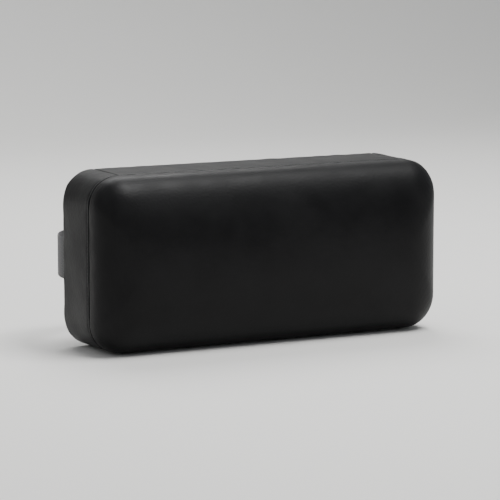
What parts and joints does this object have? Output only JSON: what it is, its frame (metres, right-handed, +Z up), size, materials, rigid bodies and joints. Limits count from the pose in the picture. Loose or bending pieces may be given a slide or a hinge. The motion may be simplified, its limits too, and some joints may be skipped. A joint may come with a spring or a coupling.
{
  "type": "lumbar support cushion",
  "caption": "Foam-filled black leatherette bolster for the lower back, with a zipped back and a webbing strap with side-release buckle and slide adjuster.",
  "frame": {"origin": "centre of the cushion's flat rear face, which lies against the chair's back", "axes": "+Z up, +Y out of the rear face towards the chair's back, so the crowned front faces -Y, and +X along the cushion's length, to the right as seen from the front"},
  "size_m": [0.35, 0.1568, 0.16],
  "materials": {
    "leatherette": "black PU leatherette with a fine grain and a soft sheen",
    "back_leatherette": "black PU leatherette, flatter and duller than the front",
    "foam": "cream open-cell polyurethane foam",
    "zip_tape": "black woven polyester tape",
    "zip_coil": "black nylon coil",
    "zip_metal": "black lacquered zinc",
    "webbing": "black woven polypropylene webbing",
    "buckle_plastic": "black moulded acetal with a fine texture"
  },
  "bodies": {
    "cushion": {"foam_core": "foam", "front_panel": "leatherette", "top_gusset": "leatherette", "bottom_gusset": "leatherette", "left_end_panel": "leatherette", "right_end_panel": "leatherette", "back_panel_upper": "back_leatherette", "back_panel_lower": "back_leatherette", "zip_tape_upper": "zip_tape", "zip_tape_lower": "zip_tape", "zip_coil_upper": "zip_coil", "zip_coil_lower": "zip_coil", "zip_stop_left": "zip_metal", "zip_stop_right": "zip_metal", "strap_anchor_left": "back_leatherette", "strap_anchor_right": "back_leatherette", "left_strap": "webbing", "strap_tail": "webbing", "right_strap": "webbing", "buckle_socket": "buckle_plastic"},
    "slider": {"zip_slider": "zip_metal"},
    "pull": {"zip_pull": "zip_metal"},
    "plug": {"buckle_plug": "buckle_plastic"},
    "upper_prong": {"buckle_prong_upper": "buckle_plastic"},
    "lower_prong": {"buckle_prong_lower": "buckle_plastic"},
    "adjuster": {"strap_adjuster": "buckle_plastic"}
  },
  "joints": [
    {"name": "zip_slide", "type": "slide", "parent": "cushion", "child": "slider", "axis": [1, 0, 0], "range_m": [-0.311, 0]},
    {"name": "zip_pull_swing", "type": "hinge", "parent": "slider", "child": "pull", "pos_m": [0.1557, 0.0025, -0.046], "axis": [0, 0, -1], "range_deg": [0, 180]},
    {"name": "buckle_release", "type": "slide", "parent": "cushion", "child": "plug", "axis": [1, 0, 0], "range_m": [0, 0.036], "deforming": ["right_strap", "buckle_prong_upper", "buckle_prong_lower"]},
    {"name": "upper_prong_squeeze", "type": "hinge", "parent": "plug", "child": "upper_prong", "pos_m": [0.0208, 0.056, 0.013], "axis": [0, -1, 0], "range_deg": [0, 9], "stiffness_Nm_per_rad": 0.8},
    {"name": "lower_prong_squeeze", "type": "hinge", "parent": "plug", "child": "lower_prong", "pos_m": [0.0208, 0.056, -0.013], "axis": [0, 1, 0], "range_deg": [0, 9], "stiffness_Nm_per_rad": 0.8},
    {"name": "adjuster_slide", "type": "slide", "parent": "cushion", "child": "adjuster", "axis": [1, 0, 0], "range_m": [-0.03, 0.032], "deforming": ["strap_tail"]}
  ]
}
